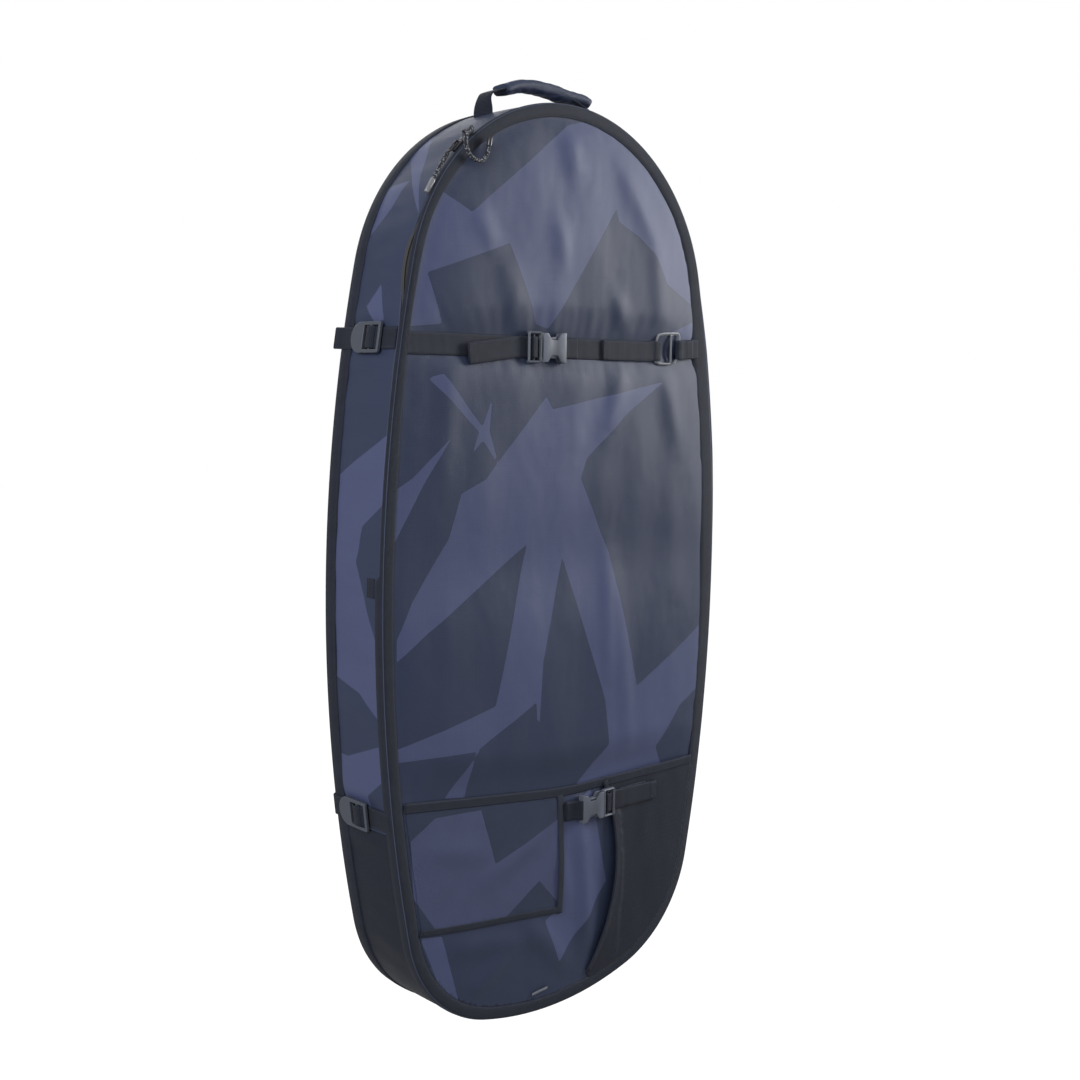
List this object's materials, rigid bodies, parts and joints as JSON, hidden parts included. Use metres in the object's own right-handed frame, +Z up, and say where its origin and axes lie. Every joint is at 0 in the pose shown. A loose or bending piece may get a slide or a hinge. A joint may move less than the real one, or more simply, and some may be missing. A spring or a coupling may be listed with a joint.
{
  "type": "board bag",
  "caption": "Padded egg-shaped bag for a short board, with a fold-down zip lid, buckled straps, front pocket, grab handle and back harness.",
  "frame": {"origin": "the hang point: underside of the grab handle's webbing, above the middle of the shell", "axes": "X to the right as the front is seen, Y to the back, Z up along the bag's length"},
  "size_m": [0.5612, 0.1386, 1.1539],
  "materials": {
    "printed_fabric": "printed woven polyester, satin",
    "black_fabric": "plain woven polyester",
    "foam": "closed-cell foam",
    "binding": "woven edge tape",
    "webbing": "woven webbing",
    "zip_tape": "woven tape",
    "zip_coil": "moulded coil",
    "dark_metal": "satin black",
    "hook_metal": "satin grey",
    "plastic": "fine moulded texture",
    "cord": "braided with light flecks",
    "cord_end": "glossy sleeve",
    "mesh": "fine open mesh",
    "pad_fabric": "padded woven fabric",
    "tag": "woven tape"
  },
  "bodies": {
    "shell": {"lower_front_fabric": "printed_fabric", "lower_front_foam": "foam", "back_panel_fabric": "black_fabric", "back_panel_foam": "foam", "gusset_upper": "printed_fabric", "gusset_lower": "black_fabric", "lower_front_binding": "binding", "back_binding": "binding", "zip_tape_body": "zip_tape", "zip_chain_body": "zip_coil", "zip_end_tabs": "binding", "lower_strap_left": "webbing", "lower_buckle_socket": "plastic", "lower_strap_right": "webbing", "flank_webbing": "webbing", "handle_anchors": "webbing", "pocket_panel": "printed_fabric", "side_panel": "black_fabric", "pocket_hem": "binding", "mesh_window": "mesh", "mesh_trim": "binding", "side_panel_trim": "binding", "sewn_tag": "tag", "lumbar_pad": "pad_fabric", "shoulder_strap_left": "pad_fabric", "shoulder_strap_right": "pad_fabric", "shoulder_webbing": "webbing"},
    "lid": {"lid_fabric": "printed_fabric", "lid_foam": "foam", "lid_binding": "binding", "zip_tape_lid": "zip_tape", "zip_chain_lid": "zip_coil", "upper_strap_left": "webbing", "upper_buckle_socket": "plastic", "upper_strap_right": "webbing", "hook_anchor": "webbing"},
    "slider_left": {"zip_slider_left": "dark_metal"},
    "slider_right": {"zip_slider_right": "dark_metal"},
    "pull_left": {"pull_link_left": "dark_metal", "pull_cord_left": "cord", "pull_tip_left": "cord_end"},
    "pull_right": {"pull_link_right": "dark_metal", "pull_cord_right": "cord", "pull_tip_right": "cord_end"},
    "handle": {"handle_webbing": "webbing", "handle_grip": "printed_fabric"},
    "hook": {"g_hook": "hook_metal"},
    "upper_plug": {"upper_buckle_plug": "plastic"},
    "lower_plug": {"lower_buckle_plug": "plastic"},
    "upper_arm_top": {"upper_buckle_arm_top": "plastic"},
    "upper_arm_bottom": {"upper_buckle_arm_bottom": "plastic"},
    "lower_arm_top": {"lower_buckle_arm_top": "plastic"},
    "lower_arm_bottom": {"lower_buckle_arm_bottom": "plastic"},
    "lock_upper_left": {"ladder_lock_upper_left": "plastic"},
    "lock_upper_right": {"ladder_lock_upper_right": "plastic"},
    "lock_lower_left": {"ladder_lock_lower_left": "plastic"},
    "lock_lower_right": {"ladder_lock_lower_right": "plastic"},
    "adjuster_left": {"strap_adjuster_left": "plastic"},
    "adjuster_right": {"strap_adjuster_right": "plastic"}
  },
  "joints": [
    {"name": "lid_fold", "type": "hinge", "parent": "shell", "child": "lid", "pos_m": [0, -0.054, -0.561], "axis": [1, 0, 0], "range_deg": [0, 135]},
    {"name": "slider_left_travel", "type": "hinge", "parent": "lid", "child": "slider_left", "pos_m": [0, -0.045, -0.259], "axis": [0, -1, 0], "range_deg": [0, 20]},
    {"name": "slider_right_travel", "type": "hinge", "parent": "lid", "child": "slider_right", "pos_m": [0, -0.045, -0.259], "axis": [0, -1, 0], "range_deg": [-116, 0]},
    {"name": "pull_left_swing", "type": "hinge", "parent": "slider_left", "child": "pull_left", "pos_m": [-0.17238, -0.045, -0.0805], "axis": [0, 1, 0], "range_deg": [0, 100]},
    {"name": "pull_right_swing", "type": "hinge", "parent": "slider_right", "child": "pull_right", "pos_m": [-0.15948, -0.045, -0.06622], "axis": [-0.7705, 0, -0.6374], "range_deg": [0, 90]},
    {"name": "handle_swing", "type": "hinge", "parent": "shell", "child": "handle", "pos_m": [-0.008, 0, -0.022], "axis": [1, 0, 0], "range_deg": [-35, 35], "stiffness_Nm_per_rad": 0.5},
    {"name": "upper_buckle_release", "type": "slide", "parent": "lid", "child": "upper_plug", "axis": [-1, 0, 0], "range_m": [0, 0.035]},
    {"name": "upper_arm_top_press", "type": "hinge", "parent": "upper_plug", "child": "upper_arm_top", "pos_m": [-0.0536, -0.0574, -0.2911], "axis": [0, 1, 0], "range_deg": [0, 6], "stiffness_Nm_per_rad": 0.3},
    {"name": "upper_arm_bottom_press", "type": "hinge", "parent": "upper_plug", "child": "upper_arm_bottom", "pos_m": [-0.0536, -0.0574, -0.3129], "axis": [0, -1, 0], "range_deg": [0, 6], "stiffness_Nm_per_rad": 0.3},
    {"name": "lower_buckle_release", "type": "slide", "parent": "shell", "child": "lower_plug", "axis": [1, 0, 0], "range_m": [0, 0.035]},
    {"name": "lower_arm_top_press", "type": "hinge", "parent": "lower_plug", "child": "lower_arm_top", "pos_m": [0.0626, -0.0594, -0.8919], "axis": [0, 1, 0], "range_deg": [0, 6], "stiffness_Nm_per_rad": 0.3},
    {"name": "lower_arm_bottom_press", "type": "hinge", "parent": "lower_plug", "child": "lower_arm_bottom", "pos_m": [0.0626, -0.0594, -0.8701], "axis": [0, -1, 0], "range_deg": [0, 6], "stiffness_Nm_per_rad": 0.3},
    {"name": "lock_upper_left_tilt", "type": "hinge", "parent": "shell", "child": "lock_upper_left", "pos_m": [-0.25967, -0.021, -0.29611], "axis": [0.1598, 0, 0.9871], "range_deg": [0, 35], "stiffness_Nm_per_rad": 0.02},
    {"name": "lock_upper_right_tilt", "type": "hinge", "parent": "shell", "child": "lock_upper_right", "pos_m": [0.25967, -0.021, -0.29611], "axis": [0.1598, 0, -0.9871], "range_deg": [0, 35], "stiffness_Nm_per_rad": 0.02},
    {"name": "lock_lower_left_tilt", "type": "hinge", "parent": "shell", "child": "lock_lower_left", "pos_m": [-0.27022, -0.011, -0.84168], "axis": [-0.1216, 0, 0.9926], "range_deg": [0, 35], "stiffness_Nm_per_rad": 0.02},
    {"name": "lock_lower_right_tilt", "type": "hinge", "parent": "shell", "child": "lock_lower_right", "pos_m": [0.27022, -0.011, -0.84168], "axis": [-0.1216, 0, -0.9926], "range_deg": [0, 35], "stiffness_Nm_per_rad": 0.02},
    {"name": "adjuster_left_tilt", "type": "hinge", "parent": "shell", "child": "adjuster_left", "pos_m": [-0.118, 0.0596, -0.492], "axis": [1, 0, 0], "range_deg": [0, 35], "stiffness_Nm_per_rad": 0.02},
    {"name": "adjuster_right_tilt", "type": "hinge", "parent": "shell", "child": "adjuster_right", "pos_m": [0.118, 0.0596, -0.492], "axis": [1, 0, 0], "range_deg": [0, 35], "stiffness_Nm_per_rad": 0.02},
    {"name": "hook_swing", "type": "hinge", "parent": "lid", "child": "hook", "pos_m": [0.15125, -0.0593, -0.302], "axis": [0, 0, -1], "range_deg": [0, 40]}
  ]
}
